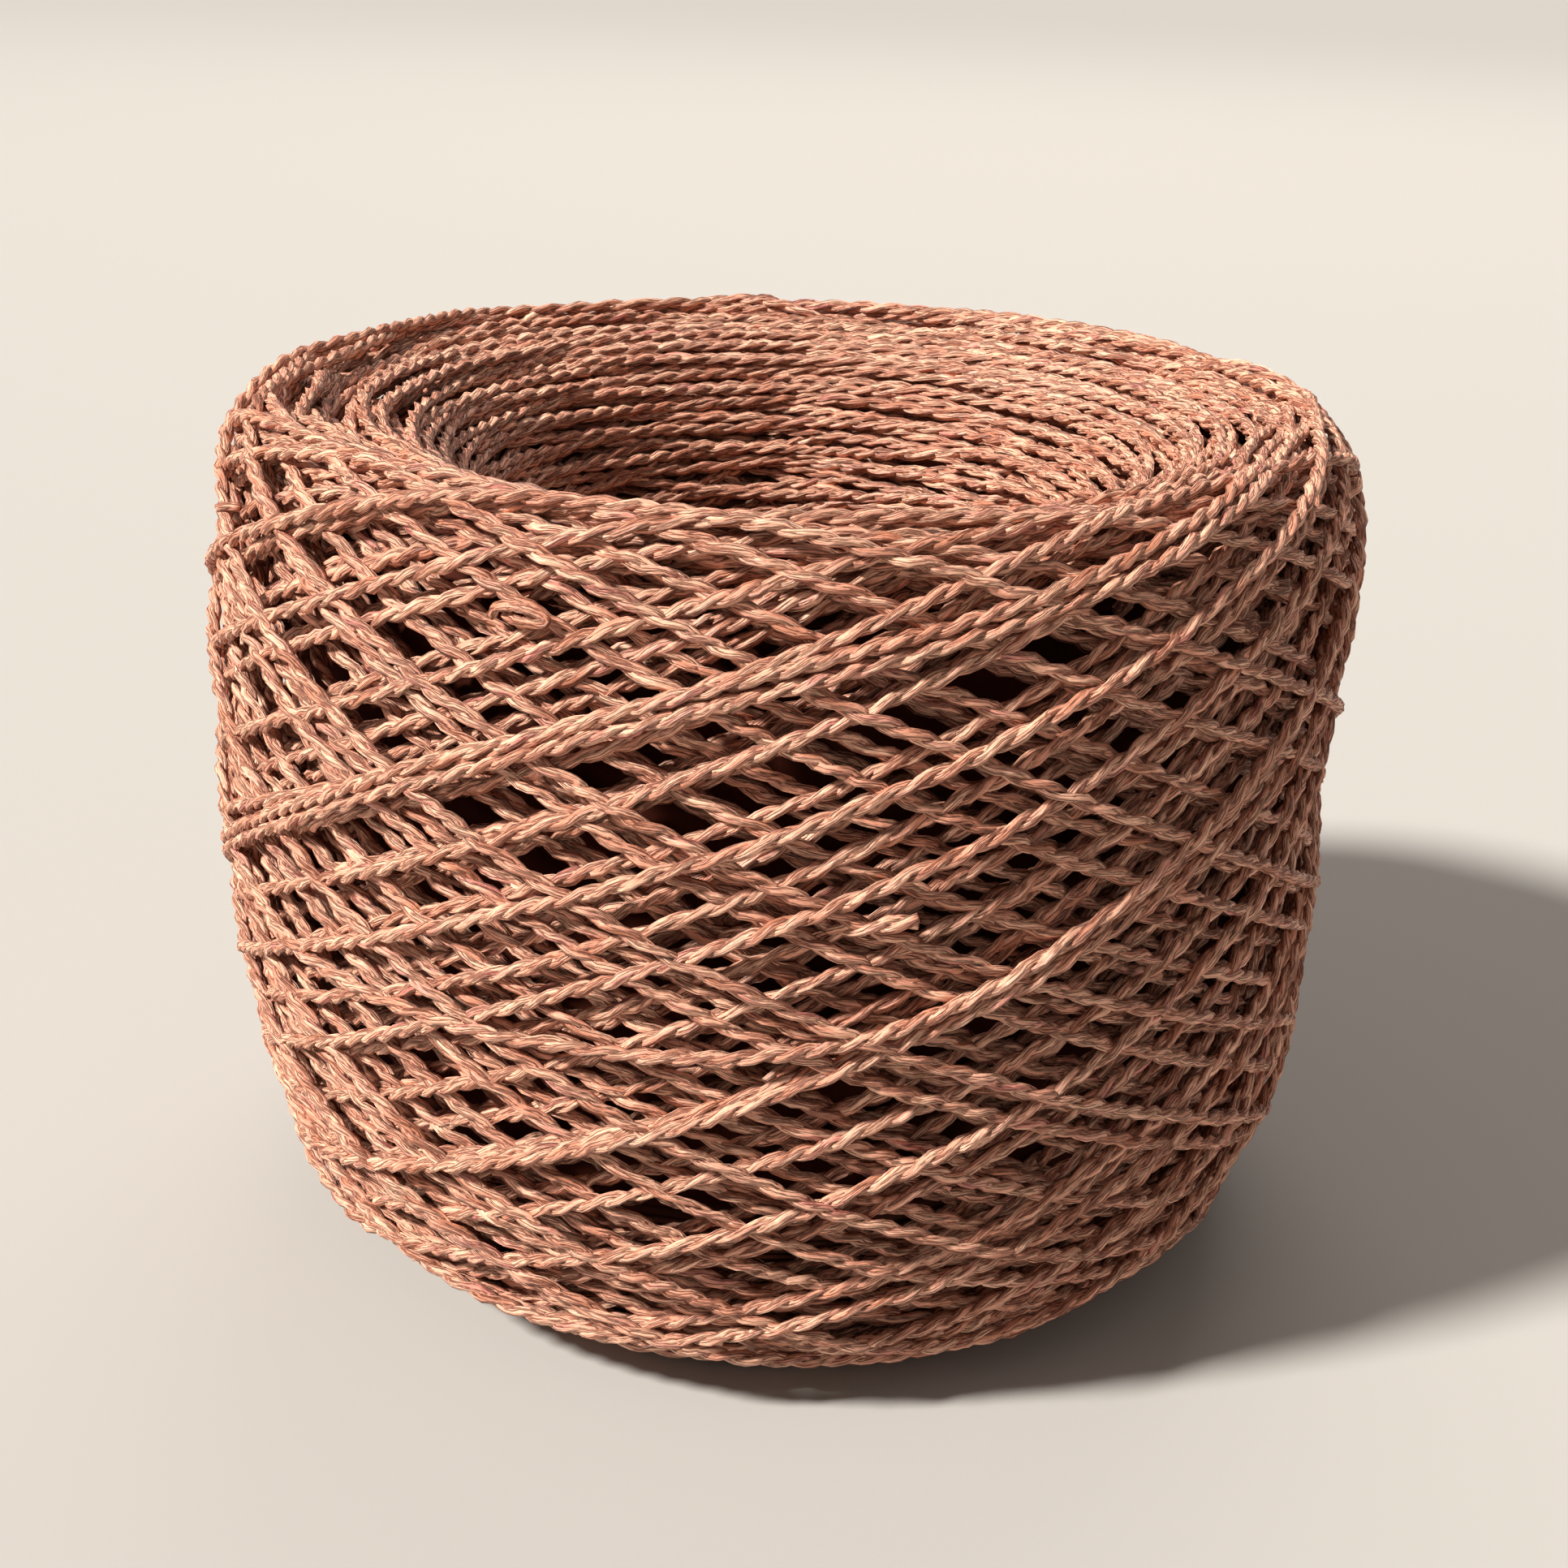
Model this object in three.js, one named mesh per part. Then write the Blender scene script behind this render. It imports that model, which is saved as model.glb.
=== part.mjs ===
// Ball of paper raffia yarn: a hollow, cross-wound cake with a dished top and a
// hole through its middle. Millimetres, +Z up, origin under the middle of the ball.
// The yarn is one unbroken length, so the ball is one solid. Its surface carries
// the main twists: a net of crossing strands on the wall, a swirl of turning arcs
// on the top and underneath, and level turns down the hole.
import * as THREE from 'three';
import { mergeVertices } from 'three/addons/utils/BufferGeometryUtils.js';

// Driving dimensions
const BALL_WIDTH = 120;
const BALL_HEIGHT = 90;
const CREST_RADIUS = 52.5;
const NECK_RADIUS = 26.5;
const RING_INNER_RADIUS = 38.5;
const RING_OUTER_RADIUS = 44;

// The winding: strands climb half a millimetre for each millimetre round the wall
const STRAND_SLOPE = 0.5;
const CROSSINGS_AROUND = 64;
const GAP_DEPTH = 2.6;
const TURN_ANGLE = (2 * Math.PI) / CROSSINGS_AROUND;
const ROW_SPACING = (BALL_WIDTH / 2) * TURN_ANGLE * STRAND_SLOPE;

// The side that was pressed in while the ball was handled
const PRESSED_SIDE = { angle: -0.26, height: 57, depth: 2.0, angleReach: 0.55, heightReach: 19 };

// Unevenness, as waves: how many go round the ball, how many millimetres up the
// wall turn each by a radian, and how far it moves the surface
const LUMPS = [
  { around: 3, climb: 11, amount: 0.35 },
  { around: 7, climb: -6, amount: 0.35 },
];
// Gaps deepen and close up by a share of their depth
const SLACK = [{ around: 5, climb: 4, amount: 0.2 }];
// Crossings wander sideways by a share of the space between them
const WANDER = [
  { around: 14, climb: 5, amount: 0.08 },
  { around: 4, climb: 2, amount: 0.08 },
];

// The section of the ball, a row for each place where it turns: up the wall, over
// the crest, across the dish, down the hole, round underneath to the standing ring.
// `winding` names how the yarn lies from this row to the next.
const SECTION = [
  { radius: RING_OUTER_RADIUS, height: 0, winding: 'net' },
  { radius: 46.5, height: 2.4, winding: 'net' },
  { radius: 50.8, height: 6, winding: 'net' },
  { radius: 53.9, height: 10.5, winding: 'net' },
  { radius: 56.7, height: 20, winding: 'net' },
  { radius: 58.8, height: 34, winding: 'net' },
  { radius: 59.7, height: 49, winding: 'net' },
  { radius: BALL_WIDTH / 2, height: 64, winding: 'net' },
  { radius: 59.0, height: 77, winding: 'net' },
  { radius: 57.6, height: 84.5, winding: 'net' },
  { radius: 55.8, height: 88.2, winding: 'net' },
  { radius: CREST_RADIUS, height: BALL_HEIGHT, winding: 'swirl' },
  { radius: 46, height: 88.7, winding: 'swirl' },
  { radius: 39, height: 85.9, winding: 'swirl' },
  { radius: 34, height: 82, winding: 'swirl' },
  { radius: 30.8, height: 76, winding: 'turns' },
  { radius: 28.4, height: 66, winding: 'turns' },
  { radius: NECK_RADIUS, height: 45, winding: 'turns' },
  { radius: 28.4, height: 22, winding: 'turns' },
  { radius: 31, height: 11, winding: 'swirl' },
  { radius: 34.5, height: 4.5, winding: 'swirl' },
  { radius: RING_INNER_RADIUS, height: 0, winding: 'pressed flat' },
];

// How far apart the rows of each winding are, and how deep the gaps between strands
const WINDINGS = {
  'net': { spacing: ROW_SPACING, depth: GAP_DEPTH },
  'swirl': { spacing: ROW_SPACING * 0.5, depth: GAP_DEPTH * 0.6 },
  'turns': { spacing: ROW_SPACING * 1.15, depth: GAP_DEPTH * 0.7 },
  'pressed flat': { spacing: ROW_SPACING, depth: 0 },
};

// One smooth closed curve through the section
function sectionCurve() {
  const places = SECTION.map((row) => new THREE.Vector3(row.radius, row.height, 0));
  return new THREE.CatmullRomCurve3(places, true, 'centripetal');
}

// The stretches of the section that are wound alike, by the numbers of their rows
function stretches() {
  const starts = SECTION.map((row, index) => index)
    .filter((index) => SECTION[index].winding !== SECTION[index - 1]?.winding);
  return starts.map((from, order) => ({
    from,
    to: starts[order + 1] ?? SECTION.length,
    winding: SECTION[from].winding,
  }));
}

// Evenly spaced rows along one stretch. What would reach below the surface that the
// ball stands on is pressed level with it.
function rowsOf(curve, { from, to, winding }) {
  const fineSteps = 400;
  const share = (step) => (from + ((to - from) * step) / fineSteps) / SECTION.length;
  const lengths = [0];
  for (let step = 1; step <= fineSteps; step++) {
    const piece = curve.getPoint(share(step)).distanceTo(curve.getPoint(share(step - 1)));
    lengths.push(lengths[step - 1] + piece);
  }
  const { spacing, depth } = WINDINGS[winding];
  const count = Math.round(lengths[fineSteps] / spacing);
  return Array.from({ length: count }, (unused, order) => {
    const step = lengths.findIndex((length) => length >= (lengths[fineSteps] * order) / count);
    const place = curve.getPoint(share(step));
    const along = curve.getTangent(share(step));
    const height = Math.max(0, place.y);
    const outward = new THREE.Vector2(along.y, -along.x);
    return { radius: place.x, height, outward, winding, depth: height === 0 ? 0 : depth };
  });
}

function waves(table, angle, height) {
  const move = ({ around, climb, amount }) => amount * Math.sin(around * angle + height / climb);
  return table.reduce((sum, wave) => sum + move(wave), 0);
}

// Crossings lie on the even places of the net and gaps on the odd ones
function isGap(row, column) {
  return row.winding === 'turns' ? row.number % 2 === 1 : (row.number + column) % 2 === 1;
}

// How far the wall lies inside its even round: its lumps, and the pressed side
function wallSink(angle, height) {
  const { depth, angleReach, heightReach } = PRESSED_SIDE;
  const around = Math.abs(angle - PRESSED_SIDE.angle) % (2 * Math.PI);
  const aside = Math.min(around, 2 * Math.PI - around) / angleReach;
  const above = (height - PRESSED_SIDE.height) / heightReach;
  const highestLump = LUMPS.reduce((sum, lump) => sum + lump.amount, 0);
  return depth * Math.exp(-(aside ** 2) - above ** 2) + highestLump + waves(LUMPS, angle, height);
}

// One place of the wound form: the section's row turned to the column's angle, with
// the gaps between strands sunk into the ball
function wovenPlace(row, column) {
  const even = column * TURN_ANGLE;
  const wall = row.radius > CREST_RADIUS ? wallSink(even, row.height) : 0;
  const gap = isGap(row, column) ? row.depth * (1 + waves(SLACK, even, row.height)) : 0;
  const angle = row.depth > 0 ? even + TURN_ANGLE * waves(WANDER, even, row.height) : even;
  const radius = row.radius - (wall + gap) * row.outward.x;
  const height = row.height - (wall + gap) * row.outward.y;
  return new THREE.Vector3(radius * Math.cos(angle), radius * Math.sin(angle), height);
}

// Two triangles for each place of the net, split along the strand that crosses it
function netFaces(rows) {
  const faces = [];
  const corner = (column, row) => column * (rows.length + 1) + row;
  for (let column = 0; column < CROSSINGS_AROUND; column++) {
    rows.forEach((row, number) => {
      const near = corner(column, number);
      const above = corner(column, number + 1);
      const right = corner(column + 1, number);
      const far = corner(column + 1, number + 1);
      const climbsRight = row.winding === 'net' && !isGap(row, column);
      if (climbsRight) faces.push(near, right, far, near, far, above);
      else faces.push(near, right, above, right, far, above);
    });
  }
  return faces;
}

// The wound form: the section turned round the axis and worked into strands
function woundForm() {
  const curve = sectionCurve();
  const rows = stretches().flatMap((stretch) => rowsOf(curve, stretch));
  rows.forEach((row, number) => { row.number = number; });

  const closed = [...rows, rows[0]];
  const outline = closed.map((row) => new THREE.Vector2(row.radius, row.height));
  const geometry = new THREE.LatheGeometry(outline, CROSSINGS_AROUND);
  for (let column = 0; column <= CROSSINGS_AROUND; column++) {
    closed.forEach((row, order) => {
      const { x, y, z } = wovenPlace(row, column % CROSSINGS_AROUND);
      geometry.attributes.position.setXYZ(column * closed.length + order, x, y, z);
    });
  }
  geometry.setIndex(netFaces(rows));
  geometry.deleteAttribute('normal');
  geometry.deleteAttribute('uv');
  return mergeVertices(geometry, 1e-3);
}

// Set the origin under the middle of the ball, at the surface that it stands on
function standAtOrigin(geometry) {
  geometry.computeBoundingBox();
  const { min, max } = geometry.boundingBox;
  geometry.translate(-(min.x + max.x) / 2, -(min.y + max.y) / 2, -min.z);
  geometry.computeVertexNormals();
  return geometry;
}

function yarnBall() {
  const paperRaffia = new THREE.MeshStandardMaterial({ color: 0xd9a386, roughness: 0.62, metalness: 0 });
  const ball = new THREE.Mesh(standAtOrigin(woundForm()), paperRaffia);
  ball.name = 'yarn_ball';
  return ball;
}

const part = new THREE.Group();
part.add(yarnBall());

export default part;
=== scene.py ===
# Ball of paper raffia yarn: a hollow, cross-wound cake of two-ply twisted paper yarn.
# The winding is worked out in millimetres, and the finished meshes are in metres.
import math

import bmesh
import bpy
import numpy as np
from mathutils import Matrix, Vector


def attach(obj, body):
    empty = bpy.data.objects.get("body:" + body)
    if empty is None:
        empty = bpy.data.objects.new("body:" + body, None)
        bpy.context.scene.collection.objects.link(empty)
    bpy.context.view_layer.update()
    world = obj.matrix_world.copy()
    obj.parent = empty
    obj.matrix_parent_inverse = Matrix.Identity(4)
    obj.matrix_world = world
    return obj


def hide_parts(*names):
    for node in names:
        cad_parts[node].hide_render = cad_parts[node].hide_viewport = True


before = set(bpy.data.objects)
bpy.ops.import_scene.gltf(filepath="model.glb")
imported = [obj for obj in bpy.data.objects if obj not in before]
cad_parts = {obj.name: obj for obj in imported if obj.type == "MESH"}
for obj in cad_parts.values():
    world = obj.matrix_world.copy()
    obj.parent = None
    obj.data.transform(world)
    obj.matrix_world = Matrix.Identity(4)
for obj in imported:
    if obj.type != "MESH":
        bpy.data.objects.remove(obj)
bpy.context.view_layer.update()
scene = bpy.context.scene

# The studio: the lens looks down on the ball from in front. A warm sun lamp at the upper
# left casts the soft shadow, and a wide lamp behind the ball and a warm sky fill the shade.
LENS_MM = 51.0
SENSOR_MM = 36.0
CAMERA_AT = Vector((0.0003, -0.2279, 0.1356))
LOOKS_DOWN = math.radians(21.6)
CAMERA_ROLL = math.radians(1.99)
BALL_MIDDLE = Vector((0, 0, 0.045))
SUN_AT = (-1.37, -0.68, 1.42)
SUN_STRENGTH = 6.9
SUN_COLOUR = (1.0, 0.95, 0.89)
SUN_SPREAD = math.radians(7.5)
OVERHEAD_AT = (0.2, 1.3, 1.6)
OVERHEAD_STRENGTH = 13.0
OVERHEAD_COLOUR = (1.0, 0.92, 0.86)
OVERHEAD_WIDTH = 1.4
SKY_COLOUR = (1.0, 0.89, 0.82, 1)
SKY_STRENGTH = 0.32

lens = bpy.data.cameras.new("view")
lens.sensor_width = SENSOR_MM
lens.lens = LENS_MM
camera = bpy.data.objects.new("view", lens)
camera.matrix_world = (Matrix.Translation(CAMERA_AT)
                       @ Matrix.Rotation(math.radians(90) - LOOKS_DOWN, 4, "X")
                       @ Matrix.Rotation(CAMERA_ROLL, 4, "Z"))
scene.collection.objects.link(camera)
scene.camera = camera


def lamp(name, kind, at, strength, colour):
    """A lamp that faces the middle of the ball."""
    light = bpy.data.lights.new(name, kind)
    light.energy = strength
    light.color = colour
    stand = bpy.data.objects.new(name, light)
    stand.location = at
    towards_ball = BALL_MIDDLE - Vector(at)
    stand.rotation_euler = towards_ball.to_track_quat("-Z", "Y").to_euler()
    scene.collection.objects.link(stand)
    return light


low_sun = lamp("low_sun", "SUN", SUN_AT, SUN_STRENGTH, SUN_COLOUR)
low_sun.angle = SUN_SPREAD
overhead = lamp("overhead", "AREA", OVERHEAD_AT, OVERHEAD_STRENGTH, OVERHEAD_COLOUR)
overhead.size = OVERHEAD_WIDTH

world = bpy.data.worlds.new("studio")
world.use_nodes = True
sky = world.node_tree.nodes["Background"]
sky.inputs["Color"].default_value = SKY_COLOUR
sky.inputs["Strength"].default_value = SKY_STRENGTH
scene.world = world
scene.view_settings.view_transform = "Standard"

# The floor: one plain pale matt sheet that runs back past the top of the picture. The
# ball stands on it, and it is no part of the ball.
FLOOR_REACH = 9.0
FLOOR_COLOUR = (0.42, 0.41, 0.39, 1)
FLOOR_ROUGHNESS = 0.85
FLOOR_GLOSS = 0.1


def new_finish(name):
    """A new material made of nodes, with its node tree and its shader."""
    material = bpy.data.materials.new(name)
    material.use_nodes = True
    tree = material.node_tree
    return material, tree, tree.nodes["Principled BSDF"]


shape = bmesh.new()
bmesh.ops.create_grid(shape, x_segments=1, y_segments=1, size=FLOOR_REACH)
floor_mesh = bpy.data.meshes.new("floor")
shape.to_mesh(floor_mesh)
shape.free()
floor = bpy.data.objects.new("floor", floor_mesh)
scene.collection.objects.link(floor)
pale_floor, tree, shader = new_finish("pale_floor")
shader.inputs["Base Color"].default_value = FLOOR_COLOUR
shader.inputs["Roughness"].default_value = FLOOR_ROUGHNESS
shader.inputs["Specular IOR Level"].default_value = FLOOR_GLOSS
floor_mesh.materials.append(pale_floor)

# The inner winding: the layers of the yarn between those that line the hole and those
# that show outside, wound on a spindle that was then drawn out. Only glimpses of it
# show through the gaps between the strands, so it is one turned form, coloured with
# painted shade.
MM = 0.001

# The section of the finished ball, from the neck of the hole up over the dished top and
# the crest, down the wall and round underneath. Each row is a radius, a height, and how
# thick the strands over the inner winding lie there.
NECK = (26.5, 45, 4.1)
UP_THE_HOLE = [(28.4, 66, 5.6), (30.8, 76, 6.4)]
ACROSS_THE_DISH = [(34, 82, 5.6), (39, 85.9, 5.3), (46, 88.7, 6.1), (52.5, 90, 10.0)]
DOWN_THE_WALL = [
    (55.8, 88.2, 8.9), (57.6, 84.5, 7.3), (59.0, 77, 6.5), (60, 64, 6.5), (59.7, 49, 6.5),
    (58.8, 34, 6.4), (56.7, 20, 6.6), (53.9, 10.5, 8.4), (50.8, 6, 8.6), (46.5, 2.4, 5.8),
]
UNDERNEATH = [(44, 0, 4.8), (38.5, 0, 4.6), (34.5, 4.5, 4.9), (31, 11, 6.0), (28.4, 22, 4.2)]

# The spacing of the section's rows, and of the net on which strands are laid
GRID = 0.4


def smooth_loop(corners, spacing, fine_steps=60):
    """Evenly spaced rows on a smooth closed line through the corners, and its length."""
    corners = np.array(corners, float)
    reach = np.linalg.norm(np.diff(corners[:, :2], axis=0, append=corners[:1, :2]), axis=1)
    pieces = []
    for k in range(len(corners)):
        before, here, there, after = (corners[(k + j) % len(corners)] for j in (-1, 0, 1, 2))
        leave = (there - before) / 2 * min(1, reach[k] / reach[k - 1])
        arrive = (after - here) / 2 * min(1, reach[k] / reach[(k + 1) % len(corners)])
        t = np.linspace(0, 1, fine_steps, endpoint=False)[:, None]
        pieces.append((2*t**3 - 3*t**2 + 1) * here + (t**3 - 2*t**2 + t) * leave
                      + (3*t**2 - 2*t**3) * there + (t**3 - t**2) * arrive)
    line = np.concatenate(pieces + [corners[:1]])
    steps = np.linalg.norm(np.diff(line[:, :2], axis=0), axis=1)
    along = np.concatenate([[0], np.cumsum(steps)])
    at = np.arange(0, along[-1], spacing)
    return np.stack([np.interp(at, along, line[:, k]) for k in range(3)], 1), along[-1]


section, section_length = smooth_loop(
    [NECK] + UP_THE_HOLE + ACROSS_THE_DISH + DOWN_THE_WALL + UNDERNEATH, GRID)
rows = len(section)
slope = np.roll(section[:, :2], -1, 0) - np.roll(section[:, :2], 1, 0)
slope /= np.linalg.norm(slope, axis=1, keepdims=True)
outward = np.stack([-slope[:, 1], slope[:, 0]], 1)


def at_place(values, place):
    """A value of the section at a place along it, in millimetres from the neck."""
    row_places = np.append(np.arange(rows) * GRID, section_length)
    return np.interp(np.mod(place, section_length), row_places, np.append(values, values[0]))


# The side that was pressed in while the ball was handled: where it is, how deep it
# goes, and how far it reaches round the ball and up it. The hole keeps its shape.
PRESSED_ANGLE = -0.26
PRESSED_HEIGHT = 57
PRESSED_DEPTH = 2.0
PRESSED_ROUND = 0.55
PRESSED_UP = 19
PRESSED_OUTSIDE = 45


def in_space(angle, place, height):
    """Points in metres, from angles round the ball, places along its section and heights
    over the inner winding."""
    rise = height - at_place(section[:, 2], place)
    radius = at_place(section[:, 0], place)
    level = at_place(section[:, 1], place)
    round_it = (np.mod(angle - PRESSED_ANGLE + math.pi, 2 * math.pi) - math.pi) / PRESSED_ROUND
    up_it = (level - PRESSED_HEIGHT) / PRESSED_UP
    sink = PRESSED_DEPTH * np.exp(-round_it**2 - up_it**2) * (radius > PRESSED_OUTSIDE)
    radius = radius + at_place(outward[:, 0], place) * (rise - sink)
    level = level + at_place(outward[:, 1], place) * (rise - sink)
    return np.stack([radius * np.cos(angle), radius * np.sin(angle), level], 1) * MM


# Its outline is turned round the axis, a little under the strands and off the floor
INNER_ROW_STEP = 9
INNER_STEPS_ROUND = 80
INNER_SINK = 0.4
INNER_OFF_FLOOR = 0.4

shape = bmesh.new()
places = np.arange(0, rows, INNER_ROW_STEP) * GRID
outline = in_space(np.zeros(len(places)), places, np.full(len(places), -INNER_SINK))
ring = [shape.verts.new((x, y, max(z, INNER_OFF_FLOOR * MM))) for x, y, z in outline]
edges = [shape.edges.new(pair) for pair in zip(ring, ring[1:] + ring[:1])]
bmesh.ops.spin(shape, geom=ring + edges, cent=(0, 0, 0), axis=(0, 0, 1),
               angle=2 * math.pi, steps=INNER_STEPS_ROUND, use_merge=True)
bmesh.ops.recalc_face_normals(shape, faces=shape.faces)
inner_mesh = bpy.data.meshes.new("inner_winding")
shape.to_mesh(inner_mesh)
shape.free()
inner_winding = bpy.data.objects.new("inner_winding", inner_mesh)
scene.collection.objects.link(inner_winding)

# One mark says how far along the section a point is, for the level turns painted faintly
# in the hole as stripes of painted light and shade. The other fades them out into near-black
# painted shade, because no light reaches the wall's gaps.
# Both colours are painted shade: near black for the wall's unlit gaps, and the yarn's shaded tone for
# the hole.
DEEP_PAINTED_SHADE = (0.05, 0.010, 0.005)
HOLE_SHADED_YARN = (0.60, 0.26, 0.17)
DEEP_ROUGHNESS = 0.9
DEEP_GLOSS = 0.1
TURN_SPACING = 1.5
TURNS_DARKEST = -1.1
TURNS_LIGHTEST = 0.2
LIT_WITHIN = 0.050
LIT_FADE = 0.004


def corners_of(mesh):
    """The corners of a mesh, a row for each."""
    corners = np.empty(len(mesh.vertices) * 3)
    mesh.vertices.foreach_get("co", corners)
    return corners.reshape(-1, 3)


def mark(mesh, name, values):
    """Marks the corners of a mesh with a value each, or a row of three, for its material."""
    kind, part = ("FLOAT_VECTOR", "vector") if values.ndim == 2 else ("FLOAT", "value")
    mesh.attributes.new(name, kind, "POINT").data.foreach_set(part, values.ravel())


def read_mark(tree, name, output):
    """The socket that gives a mark of the mesh."""
    node = tree.nodes.new("ShaderNodeAttribute")
    node.attribute_name = name
    return node.outputs[output]


def maths(tree, operation, a, b=0.0):
    """The sum, product or other operation on two sockets or numbers."""
    node = tree.nodes.new("ShaderNodeMath")
    node.operation = operation
    for socket, value in zip(node.inputs, (a, b)):
        if isinstance(value, (int, float)):
            socket.default_value = value
        else:
            tree.links.new(value, socket)
    return node.outputs[0]


def share_of_way(tree, value, low, high, kind="SMOOTHSTEP"):
    """How far a value has come from low to high, from 0 to 1."""
    node = tree.nodes.new("ShaderNodeMapRange")
    node.interpolation_type = kind
    node.inputs["From Min"].default_value = low
    node.inputs["From Max"].default_value = high
    tree.links.new(value, node.inputs["Value"])
    return node.outputs["Result"]


def mixed(tree, kind, share, a, b):
    """Two colours mixed, each a colour or a socket."""
    node = tree.nodes.new("ShaderNodeMix")
    node.data_type = "RGBA"
    node.blend_type = kind
    for socket, value in zip((node.inputs[0], node.inputs[6], node.inputs[7]), (share, a, b)):
        if isinstance(value, (int, float)):
            socket.default_value = value
        elif isinstance(value, tuple):
            socket.default_value = (*value, 1)
        else:
            tree.links.new(value, socket)
    return node.outputs[2]


corners = corners_of(inner_mesh)
radii = np.hypot(corners[:, 0], corners[:, 1])
far = np.hypot(radii[:, None] - outline[:, 0], corners[:, 2:] - outline[:, 2])
mark(inner_mesh, "turns", places[far.argmin(axis=1)] * 2 * math.pi / TURN_SPACING)
mark(inner_mesh, "lit_near_hole", np.clip((LIT_WITHIN - radii) / LIT_FADE, 0, 1))

# This material paints shade: near black under the wall, and shaded yarn with painted turns in the hole.
painted_shade_paper, tree, shader = new_finish("painted_shade_paper")
shader.inputs["Roughness"].default_value = DEEP_ROUGHNESS
shader.inputs["Specular IOR Level"].default_value = DEEP_GLOSS
wave = maths(tree, "SINE", read_mark(tree, "turns", "Fac"))
lit = share_of_way(tree, wave, TURNS_DARKEST, TURNS_LIGHTEST, "LINEAR")
lit_in_hole = maths(tree, "MULTIPLY", lit, read_mark(tree, "lit_near_hole", "Fac"))
tree.links.new(mixed(tree, "MIX", lit_in_hole, DEEP_PAINTED_SHADE, HOLE_SHADED_YARN), shader.inputs["Base Color"])
inner_mesh.materials.append(painted_shade_paper)
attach(inner_winding, "root")
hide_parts("yarn_ball")

# The hole: the first turns on the spindle, seen from inside the hole. The yarn is two
# strips of paper twisted together, and it crosses over itself up and down the hole,
# turning back where its path comes level.
YARN_RADIUS = 0.76
PLY_RADIUS = 0.44
PLY_OFFSET = 0.31
TWIST_PITCH = 6.3

# Strands press into one another, so a strand is laid as a slimmer round than the yarn
# and drawn sunk below where it was laid. None comes nearer to the floor than this gap.
PRESSED_RADIUS = 0.62
YARN_SINK = YARN_RADIUS * 0.6
YARN_OFF_FLOOR = 0.1

# A sweep goes about 230 degrees round the ball, so later strands fall between earlier
# ones. The nearer its straightness is to 1, the sharper a strand turns at its ends.
SWEEP_ANGLE = 1.2762 * math.pi
TURN_SCATTER = 0.05
STRAIGHTNESS = (0.92, 0.965)

# How many points of its path a strand takes to drift to one side, and to come from the
# height where the last sweep ended to its own
WANDER_POINTS = 110
JOIN_POINTS = 45

# A step along a strand is never quite nothing, because lengths are divided by it
TINY = 1e-9

chance = np.random.default_rng(7)
belly = int(section[:, 0].argmax())


def top_place(radius):
    """The place of a radius on the top of the ball, or in the upper half of its hole."""
    return np.interp(radius, section[:belly, 0], np.arange(belly) * GRID)


def bottom_place(radius):
    """The place of a radius underneath the ball, or in the lower half of its hole."""
    return np.interp(-radius, -section[belly:, 0], np.arange(belly, rows) * GRID)


def smooth_round(values, reach):
    """A running average along the section, which closes on itself."""
    kernel = np.hanning(2 * reach + 1)
    wrapped = np.concatenate([values[-reach:], values, values[:reach]])
    return np.convolve(wrapped, kernel / kernel.sum(), "valid")


def pulled_tight(rests, angle, place, ease_reach=5):
    """The heights of a strand that touches only what is highest, and runs straight
    between those places over the round of the ball."""
    radius = at_place(section[:, 0], place)
    step = np.hypot(np.gradient(angle) * radius, np.gradient(place)) + TINY
    along = np.cumsum(step)
    round_share = (np.gradient(angle) * radius / step) ** 2
    bend = np.maximum(0, at_place(outward[:, 0], place)) / radius * round_share
    fall = np.cumsum(np.cumsum(bend * step) * step)
    level = rests - fall
    kept = []
    for k in range(len(level)):
        while len(kept) > 1:
            i, j = kept[-2], kept[-1]
            rise_to_last = (level[j] - level[i]) * (along[k] - along[i])
            rise_to_here = (level[k] - level[i]) * (along[j] - along[i])
            if rise_to_last > rise_to_here:
                break
            kept.pop()
        kept.append(k)
    tight = np.interp(along, along[kept], level[kept]) + fall
    ease = np.hanning(2 * ease_reach + 3)[1:-1]
    return np.convolve(np.pad(tight, ease_reach, "edge"), ease / ease.sum(), "valid")


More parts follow.
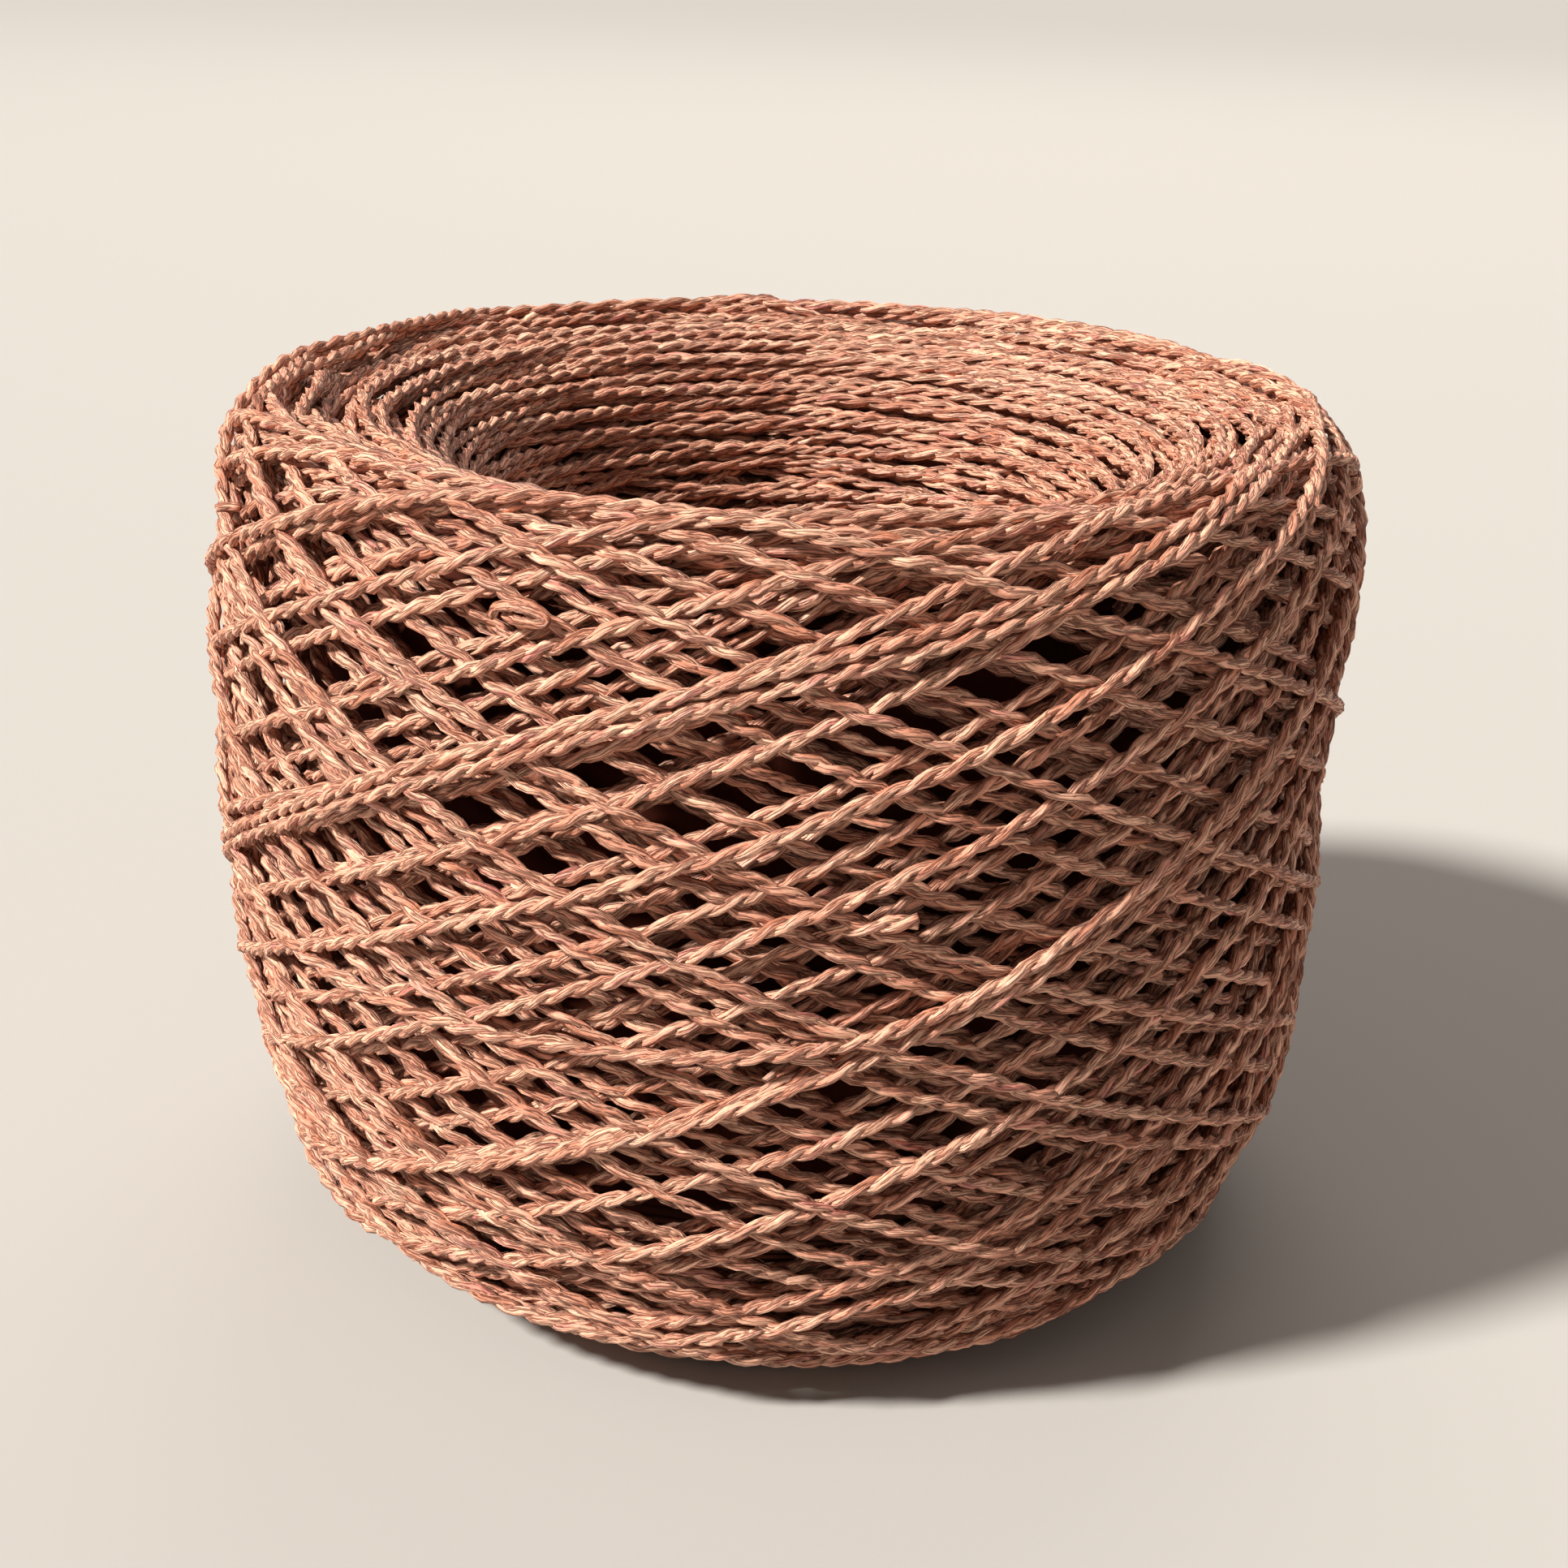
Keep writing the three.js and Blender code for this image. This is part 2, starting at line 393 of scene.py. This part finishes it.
class Winding:
    """The yarn that is on the ball so far, as its height over the inner winding on a
    net of places round the ball and along its section."""

    BALL_RADIUS = 60
    COLUMNS = int(2 * math.pi * BALL_RADIUS / GRID)

    # The share of its width across which a strand feels what is under it, and at how
    # many places it does
    FELT_WIDTH = 0.9
    FELT_PLACES = 7

    # How far a strand may stand over the usual height, and the share that is kept of more
    LOOSE_RISE = 1.7
    LOOSE_SHARE = 0.3

    # The usual height is taken again after so many strands, over so many rows each way
    STRANDS_TO_USUAL = 4
    USUAL_REACH = 15

    def __init__(self):
        self.heights = np.zeros((self.COLUMNS, rows), np.float32)
        self.usual = np.zeros(rows)
        self.laid = 0

    def under(self, angle, place):
        """The places under a strand, and how far each lies below the strand's middle."""
        radius = at_place(section[:, 0], place)
        round_step = np.gradient(angle) * radius
        along_step = np.gradient(place)
        length = np.hypot(round_step, along_step) + TINY
        across = np.linspace(-self.FELT_WIDTH, self.FELT_WIDTH, self.FELT_PLACES)
        aside = across[:, None] * PRESSED_RADIUS
        angles = angle - aside * along_step / length / radius
        places = place + aside * round_step / length
        column = np.mod(np.round(angles / (2 * math.pi) * self.COLUMNS).astype(int), self.COLUMNS)
        row = np.mod(np.round(places / GRID).astype(int), rows)
        return column, row, np.sqrt(PRESSED_RADIUS**2 - aside**2)

    def lay(self, angle, place):
        """Lays a strand on what is there and pulls it tight, and returns its heights. It
        gives way where it would stand far over the usual height."""
        column, row, below = self.under(angle, place)
        rests = (self.heights[column, row] + below).max(axis=0)
        usual = at_place(self.usual, place)
        over = pulled_tight(rests - usual, angle, place)
        given_way = self.LOOSE_RISE + (over - self.LOOSE_RISE) * self.LOOSE_SHARE
        middle = np.where(over > self.LOOSE_RISE, given_way, over) + usual
        np.maximum.at(self.heights, (column, row), middle + below)
        self.laid += 1
        if self.laid % self.STRANDS_TO_USUAL == 0:
            self.usual = smooth_round(self.heights.mean(axis=0), self.USUAL_REACH)
        return middle


winding = Winding()


def evenly(angle, place, *others, step=GRID):
    """The same path with its points evenly spaced."""
    radius = at_place(section[:, 0], place)
    along = np.concatenate([[0], np.cumsum(np.hypot(np.diff(angle) * radius[1:], np.diff(place)))])
    at = np.linspace(0, along[-1], int(along[-1] / step) + 1)
    return [np.interp(at, along, values) for values in (angle, place, *others)]


def eased(share):
    """A share from 0 to 1 that starts and ends gently."""
    return share * share * (3 - 2 * share)


def wander(count, reach, amount, fewest=4):
    """A slow drift from side to side, nothing at both ends."""
    knots = chance.normal(0, amount, max(fewest, int(count / reach)))
    knots[0] = knots[-1] = 0
    x = np.linspace(0, len(knots) - 1, count)
    k = np.minimum(x.astype(int), len(knots) - 2)
    share = (1 - np.cos((x - k) * math.pi)) / 2
    return knots[k] * (1 - share) + knots[k + 1] * share


def uneven(count, reach, amount):
    """Small smooth unevenness along the yarn."""
    knots = chance.normal(0, amount, int(count / reach) + 3)
    return np.interp(np.arange(count) / reach, np.arange(len(knots)), knots)


def sweep(turn_angles, turn_places, points=500):
    """A strand from one turn to the next, nearly straight, rounding off at both ends."""
    straightness = chance.uniform(*STRAIGHTNESS)
    x = np.linspace(-math.pi / 2, math.pi / 2, points)
    wave = np.arcsin(straightness * np.sin(x)) / math.asin(straightness)
    angle = turn_angles[0] + (turn_angles[1] - turn_angles[0]) * (x / math.pi + 0.5)
    return angle, turn_places[0] + (turn_places[1] - turn_places[0]) * (wave / 2 + 0.5)


def back_and_forth(turn_angles, turn_places, drift):
    """An unbroken strand that sweeps from each of its turns to the next."""
    path = []
    for k in range(len(turn_places) - 1):
        angle, place = evenly(*sweep(turn_angles[k:k + 2], turn_places[k:k + 2]))
        place = place + wander(len(place), WANDER_POINTS, drift)
        height = winding.lay(angle, place)
        if path:
            share = eased(np.clip(np.arange(len(height)) / JOIN_POINTS, 0, 1))
            height = path[-1][2][-1] * (1 - share) + height * share
        path.append((angle, place, height))
    return [np.concatenate(values) for values in zip(*path)]


def turning_angles(turns):
    """The angles at which the yarn turns back."""
    return np.arange(turns) * SWEEP_ANGLE + chance.normal(0, TURN_SCATTER, turns)


# Unevenness of the yarn to the side, in its twist and in the thickness of its plies: how
# many millimetres apart it changes, and how much. Then how far the corners of a ply are
# crumpled, and the length within which the paper's pattern starts on each ply.
SIDEWAYS = (4, 0.07)
TWIST_CHANGE = (9, 0.16)
THICKNESS_CHANGE = (3, 0.09)
CRUMPLE = 0.035
PATTERN_REACH = 4000


def ply_outline(name, sides, fullness=0.3):
    """The outline of a ply: an even ring, a little wider where it has few sides."""
    turn = np.arange(sides) * 2 * math.pi / sides
    reach = PLY_RADIUS * MM * (2 * math.pi / (sides * math.sin(2 * math.pi / sides))) ** fullness
    ring = bpy.data.curves.new(name, "CURVE")
    ring.dimensions = "2D"
    loop = ring.splines.new("POLY")
    loop.points.add(sides - 1)
    points = [reach * np.cos(turn), reach * np.sin(turn), np.zeros(sides), np.ones(sides)]
    loop.points.foreach_set("co", np.column_stack(points).ravel())
    loop.use_cyclic_u = True
    return bpy.data.objects.new(name, ring)


def unit(vectors):
    """The same directions, each with a length of one."""
    return vectors / np.linalg.norm(vectors, axis=1, keepdims=True)


def yarn_middle(angle, place, height):
    """The middle of the yarn in space, and its directions off the ball and to the side."""
    middle = in_space(angle, place, height - YARN_SINK)
    middle[:, 2] = np.maximum(middle[:, 2], (YARN_RADIUS + YARN_OFF_FLOOR) * MM)
    ahead = unit(np.gradient(middle, axis=0))
    out = np.stack([at_place(outward[:, 0], place) * np.cos(angle),
                    at_place(outward[:, 0], place) * np.sin(angle),
                    at_place(outward[:, 1], place)], 1)
    aside = unit(np.cross(ahead, out))
    return middle, np.cross(aside, ahead), aside


def draw_ply(line, points, thickness):
    """Adds a ply to a curve, through points in space, as thick at each as its share."""
    spline = line.splines.new("POLY")
    spline.points.add(len(points) - 1)
    spline.points.foreach_set("co", np.column_stack([points, np.ones(len(points))]).ravel())
    spline.points.foreach_set("radius", thickness)
    spline.use_smooth = True


def twisted_yarn(name, lengths, step, sides, plies=2):
    """A piece of the two plies that wind round each other along lengths of yarn, with a
    ring of corners at each step. The mark lie says how far along its ply a corner is and
    where it lies round it, and inside says how near it is to the middle of the yarn, where
    the groove between the plies is painted with shade."""
    outline = ply_outline(name + "_outline", sides)
    line = bpy.data.curves.new(name + "_line", "CURVE")
    line.dimensions = "3D"
    line.bevel_mode = "OBJECT"
    line.bevel_object = outline
    runs = []
    middles = []
    for angle, place, height in lengths:
        angle, place, height = evenly(angle, place, height, step=step)
        place = place + uneven(len(place), SIDEWAYS[0] / step, SIDEWAYS[1])
        middle, out, aside = yarn_middle(angle, place, height)
        run = np.concatenate([[0], np.cumsum(np.linalg.norm(np.diff(middle, axis=0), axis=1))]) / MM
        change = uneven(len(run), TWIST_CHANGE[0] / step, TWIST_CHANGE[1])
        twist = np.cumsum(np.diff(run, prepend=0) / TWIST_PITCH * (1 + change))
        for ply in range(plies):
            turn = (-2 * twist[:, None] + ply) * math.pi
            off_middle = PLY_OFFSET * (plies - 1) * MM * (np.cos(turn) * out + np.sin(turn) * aside)
            thickness = 1 + uneven(len(run), THICKNESS_CHANGE[0] / step, THICKNESS_CHANGE[1])
            draw_ply(line, middle + off_middle, thickness)
            runs.append(run + chance.uniform(0, PATTERN_REACH))
            middles.append(middle)
    laid_out = bpy.data.objects.new(name + "_line", line)
    scene.collection.objects.link(laid_out)
    mesh = bpy.data.meshes.new_from_object(
        laid_out.evaluated_get(bpy.context.evaluated_depsgraph_get()))
    bpy.data.objects.remove(laid_out)
    bpy.data.objects.remove(outline)

    along = np.repeat(np.concatenate(runs), sides)
    turns = np.tile(np.arange(sides) * 2 * math.pi / sides, len(along) // sides)
    mark(mesh, "lie", np.column_stack([along, np.cos(turns), np.sin(turns)]))
    corners = corners_of(mesh)
    corners += chance.normal(0, CRUMPLE * MM, corners.shape)
    mesh.vertices.foreach_set("co", corners.ravel())
    from_middle = np.linalg.norm(corners - np.repeat(np.concatenate(middles), sides, 0), axis=1)
    mark(mesh, "inside", 1 - from_middle / MM / (PLY_OFFSET + PLY_RADIUS))

    shape = bmesh.new()
    shape.from_mesh(mesh)
    bmesh.ops.holes_fill(shape, edges=[edge for edge in shape.edges if edge.is_boundary], sides=0)
    shape.to_mesh(mesh)
    shape.free()
    mesh.name = name
    mesh.materials.clear()
    mesh.materials.append(paper_raffia)
    yarn = bpy.data.objects.new(name, mesh)
    scene.collection.objects.link(yarn)
    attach(yarn, "root")


# The paper: dyed unevenly along each ply, folded into the twist with painted shade in its
# creases and a little painted light on the flats between, and marked along its fibres, partly
# in its own tone and partly with painted glints. The groove between the plies is painted shade.
RUST = (0.52, 0.20, 0.11)
PEACH = (0.79, 0.365, 0.245)
STRAW = (0.89, 0.52, 0.355)
ROSE = (0.70, 0.265, 0.205)
DYE = [(0.30, RUST), (0.44, PEACH), (0.56, STRAW), (0.70, ROSE)]
# Painted shade darkens the crease lines, and painted light brightens the flats a little.
CREASE_PAINTED_SHADE = [(0.0, (0.42, 0.33, 0.29)), (0.9, (1.1, 1.1, 1.1))]
# The fibre streaks are partly the paper's own tone, and their light and dark parts are partly painted
# glints and painted shade of fine creases.
FIBRE_STREAKS_AND_GLINTS = [(0.33, (0.66, 0.60, 0.57)), (0.66, (1.22, 1.22, 1.22))]
# The groove between the plies is painted dark: painted shade.
GROOVE_PAINTED_SHADE = (0.10, 0.028, 0.016)
GROOVE_STARTS = 0.40
GROOVE_FULL = 0.66
GROOVE_SHARE = 0.9
CREASE_WIDTH = 0.075
CREASE_ROUGHNESS = 0.66
FLAT_SMOOTHER = 0.2
CREASE_RELIEF = 0.5
FIBRE_RELIEF = 0.55
RELIEF_DEPTH = 0.0004


def add(tree, kind, **inputs):
    """A new node with its plain inputs set."""
    node = tree.nodes.new(kind)
    for name, value in inputs.items():
        node.inputs[name].default_value = value
    return node


def ramp(tree, stops, source):
    """A colour ramp through the stops, each a place and a colour, driven by a socket."""
    node = tree.nodes.new("ShaderNodeValToRGB")
    for k, (at, colour) in enumerate(stops):
        stop = node.color_ramp.elements[k] if k < 2 else node.color_ramp.elements.new(at)
        stop.position = at
        stop.color = (*colour, 1)
    tree.links.new(source, node.inputs[0])
    return node.outputs[0]


def streaks(tree, lie, along, across, detail):
    """Noise drawn out along the yarn: how fine it is along it and across it."""
    scale = tree.nodes.new("ShaderNodeVectorMath")
    scale.operation = "MULTIPLY"
    scale.inputs[1].default_value = (along, across, across)
    tree.links.new(lie, scale.inputs[0])
    noise = add(tree, "ShaderNodeTexNoise", Scale=1.0, Detail=detail, Roughness=0.55)
    tree.links.new(scale.outputs[0], noise.inputs["Vector"])
    return noise.outputs["Fac"]


paper_raffia, tree, shader = new_finish("paper_raffia")
lie = read_mark(tree, "lie", "Vector")
groove = share_of_way(tree, read_mark(tree, "inside", "Fac"), GROOVE_STARTS, GROOVE_FULL)
folds = streaks(tree, lie, along=0.28, across=1.5, detail=2.0)
off_fold = maths(tree, "ABSOLUTE", maths(tree, "SUBTRACT", folds, 0.5))
flat = share_of_way(tree, off_fold, 0.0, CREASE_WIDTH)
fibres = streaks(tree, lie, along=1.0, across=4.5, detail=4.0)
dyed = ramp(tree, DYE, streaks(tree, lie, along=0.12, across=0.4, detail=2.0))
# Painted shade in the creases and painted light on the flats
crease_shaded = mixed(tree, "MULTIPLY", 1.0, dyed, ramp(tree, CREASE_PAINTED_SHADE, flat))
# Fibre streaks with painted glints and painted shade
streaked_and_glinting = mixed(tree, "MULTIPLY", 1.0, crease_shaded, ramp(tree, FIBRE_STREAKS_AND_GLINTS, fibres))
# Painted shade in the groove between the plies
groove_shaded = mixed(tree, "MIX", maths(tree, "MULTIPLY", groove, GROOVE_SHARE), streaked_and_glinting, GROOVE_PAINTED_SHADE)
tree.links.new(groove_shaded, shader.inputs["Base Color"])
smoother = maths(tree, "MULTIPLY", flat, FLAT_SMOOTHER)
tree.links.new(maths(tree, "SUBTRACT", CREASE_ROUGHNESS, smoother), shader.inputs["Roughness"])
relief = maths(tree, "ADD", maths(tree, "MULTIPLY", flat, CREASE_RELIEF),
               maths(tree, "MULTIPLY", fibres, FIBRE_RELIEF))
bump = add(tree, "ShaderNodeBump", Strength=1.0, Distance=RELIEF_DEPTH)
tree.links.new(relief, bump.inputs["Height"])
tree.links.new(bump.outputs["Normal"], shader.inputs["Normal"])

# The turns of the hole close in layer by layer, from one radius to a smaller one
HOLE_SWEEPS = 70
HOLE_TURNS_FROM = 34.5
HOLE_CLOSES_BY = 5.0
HOLE_SCATTER = 0.5
HOLE_DRIFT = 0.5

turn_places = []
for k in range(HOLE_SWEEPS + 1):
    turn = HOLE_TURNS_FROM - HOLE_CLOSES_BY * k / HOLE_SWEEPS + chance.normal(0, HOLE_SCATTER)
    turn_places.append(bottom_place(turn) - section_length if k % 2 == 0 else top_place(turn))
hole_turns = back_and_forth(turning_angles(HOLE_SWEEPS + 1), turn_places, HOLE_DRIFT)
twisted_yarn("hole_turns", [hole_turns], step=1.05, sides=3)

# The dish and the underside: where each layer of the yarn turned back, in arcs that lie
# further out layer by layer, one on the next.
ARC_REACH = math.radians(56)
ARC_POINTS = 400
ARC_CURL = 2.5
ARC_CLIMB = 5.0
ARC_SCATTER = 2.0
ARC_WANDER_POINTS = 60
ARC_TUCK = 1.6
TUCK_POINTS = 25
DISH_RADII = (28, 49)
DISH_ARCS = 165
DISH_DRIFT = 0.25
UNDERNEATH_RADII = (29, 49)
UNDERNEATH_ARCS = 130
UNDERNEATH_DRIFT = 0.3


def tucked_in(height, depth):
    """The heights of a strand with both its ends led down under its neighbours."""
    from_end = np.minimum(np.arange(len(height)), np.arange(len(height))[::-1])
    return height - depth * (1 - eased(np.clip(from_end / TUCK_POINTS, 0, 1)))


def turning_arcs(inside, outside, count, drift):
    """Arcs that lie one on the next, from the place inside to the place outside."""
    arcs = []
    angle_now = 0.0
    for k in range(count):
        turn = inside + (outside - inside) * (k + chance.normal(0, ARC_SCATTER)) / count
        swing = np.linspace(-ARC_REACH, ARC_REACH, ARC_POINTS)
        leave = np.abs(swing / ARC_REACH) ** ARC_CURL * ARC_CLIMB
        angle, place = evenly(angle_now + swing, turn + leave * np.sign(outside - inside))
        place = place + wander(len(place), ARC_WANDER_POINTS, drift)
        arcs.append((angle, place, tucked_in(winding.lay(angle, place), ARC_TUCK)))
        angle_now += SWEEP_ANGLE + chance.normal(0, TURN_SCATTER)
    return arcs


dish_arcs = turning_arcs(*[top_place(radius) for radius in DISH_RADII], DISH_ARCS, DISH_DRIFT)
underneath_arcs = turning_arcs(*[bottom_place(radius) for radius in UNDERNEATH_RADII],
                               UNDERNEATH_ARCS, UNDERNEATH_DRIFT)
twisted_yarn("dish_arcs", dish_arcs, step=1.05, sides=3)
twisted_yarn("underneath_arcs", underneath_arcs, step=1.7, sides=3)

# The wall: the outer layers, swept up and down over the whole ball in one unbroken
# length, each strand pulled tight over those that it crosses. The ball grows as it is
# wound, and the yarn turns back at the same share of its radius at both ends.
WALL_SWEEPS = 200
WALL_RADIUS_AT_FIRST = 55.5
WALL_GROWS_BY = 4.5
TURNS_AT = 0.87
TURNS_AT_SCATTER = 0.018
WALL_DRIFT = 0.9
WALL_TUCK = 1.8

# The name, the first and last turn, the step along the yarn and the sides of a ply. The
# deeper layers show less, so they are drawn more plainly.
WALL_LAYERS = [
    ("wall_deep", 0, 84, 1.35, 3),
    ("wall_middle", 84, 124, 1.1, 3),
    ("wall_third", 124, 148, 1.05, 4),
    ("wall_second", 148, 172, 0.95, 4),
    ("wall_outer", 172, 200, 0.95, 5),
]

turn_places = []
for k in range(WALL_SWEEPS + 1):
    radius = WALL_RADIUS_AT_FIRST + WALL_GROWS_BY * k / WALL_SWEEPS
    turn = radius * (TURNS_AT + chance.normal(0, TURNS_AT_SCATTER))
    turn_places.append(bottom_place(turn) if k % 2 == 0 else top_place(turn))
turn_angles = turning_angles(WALL_SWEEPS + 1)
for name, first, last, step, sides in WALL_LAYERS:
    these = slice(first, last + 1)
    angle, place, height = back_and_forth(turn_angles[these], turn_places[these], WALL_DRIFT)
    twisted_yarn(name, [(angle, place, tucked_in(height, WALL_TUCK))], step, sides)

# The slipped strands: one that slid down across the front of the wall, and two that lie
# side by side above it. They are the same yarn, and run on into the winding at both ends.
# Each knot is an angle in degrees from the front, and a height on the wall.
SLIPPED = [
    (-150, 84), (-115, 70), (-85, 55), (-66, 46), (-50, 41.5), (-30, 41.8), (-10, 42.6),
    (4, 44), (18, 49), (35, 58), (55, 69), (72, 78), (90, 85),
]
SIDE_BY_SIDE = [
    (-112, 24), (-85, 38), (-62, 50), (-46, 58.5), (-31, 66.5), (-11, 75), (5, 80), (30, 86),
]
SIDE_BY_SIDE_APART = 1.5
TURNS_IN_DISH = top_place(50)
FRONT = -90

crest = int(section[:, 1].argmax())
foot = crest + int(section[crest:, 1].argmin())


def wall_place(height):
    """The place of a height on the wall."""
    return np.interp(-np.asarray(height, float), -section[crest:foot, 1], np.arange(crest, foot) * GRID)


def on_wall(knots):
    """Knots that are heights on the wall, as places along the section."""
    return [(turn, float(wall_place(level))) for turn, level in knots]


def smooth_path(knots, step=GRID, fine=60):
    """A smooth strand through knots, each an angle in degrees from the front and a place."""
    knots = np.array(knots, float)
    at = np.linspace(0, len(knots) - 1, fine * len(knots))
    rounding = np.hanning(2 * fine + 1)
    curves = []
    for k in range(2):
        plain = np.interp(at, np.arange(len(knots)), knots[:, k])
        before = 2 * plain[0] - plain[fine:0:-1]
        after = 2 * plain[-1] - plain[-2:-fine - 2:-1]
        padded = np.concatenate([before, plain, after])
        curves.append(np.convolve(padded, rounding / rounding.sum(), "valid"))
    return evenly(np.radians(curves[0] + FRONT), curves[1], step=step)


angle, place = smooth_path([(-185, TURNS_IN_DISH)] + on_wall(SLIPPED) + [(120, TURNS_IN_DISH)])
loose = [(angle, place, tucked_in(winding.lay(angle, place), WALL_TUCK))]
angle, place = smooth_path(on_wall(SIDE_BY_SIDE) + [(60, TURNS_IN_DISH)])
for aside in (0, SIDE_BY_SIDE_APART):
    loose.append((angle, place + aside, tucked_in(winding.lay(angle, place + aside), WALL_TUCK)))
twisted_yarn("slipped_strands", loose, step=0.95, sides=5)

# The tips: the end of the yarn, pushed into a gap in the middle of the wall, and single
# plies that kinked out of the yarn: a loop high on the left and a nub near each edge.
# Each knot is an angle, a height on the wall, and how far it stands off the winding.
TUCKED_TIP = [(4.5, 55.4, -1.6), (7.0, 55.9, -0.3), (9.2, 56.4, 0.2), (11.4, 56.9, 0.6)]
KINKED_LOOP = [
    (-25.2, 80.3, -1.2), (-24.6, 81.2, 0.2), (-22.0, 81.7, 0.6), (-19.3, 81.2, 0.5),
    (-19.0, 80.5, 0.4), (-21.2, 80.3, 0.2), (-23.8, 80.4, -1.0),
]
LEFT_NUB = [(-69.2, 79.6, -1.6), (-68.3, 80.2, -0.1), (-67.6, 80.7, 0.2), (-66.8, 81.0, -1.6)]
RIGHT_NUB = [(70.5, 84.6, -1.6), (71.3, 85.4, 0.3), (72.2, 85.8, 0.6), (73.0, 85.2, -1.6)]
TIP_STEP = 0.2


def stray(knots):
    """A stray end through its knots, at an even height over the winding."""
    turn, level, off = np.array(knots, float).T
    angle, place = smooth_path(on_wall(zip(turn, level)), step=TIP_STEP)
    rise = np.interp(np.linspace(0, 1, len(angle)), np.linspace(0, 1, len(off)), off)
    return angle, place, np.median(winding.lay(angle, place)) + rise


twisted_yarn("tucked_tip", [stray(TUCKED_TIP)], step=0.4, sides=5)
kinked = [stray(knots) for knots in (KINKED_LOOP, LEFT_NUB, RIGHT_NUB)]
twisted_yarn("kinked_plies", kinked, step=0.3, sides=5, plies=1)
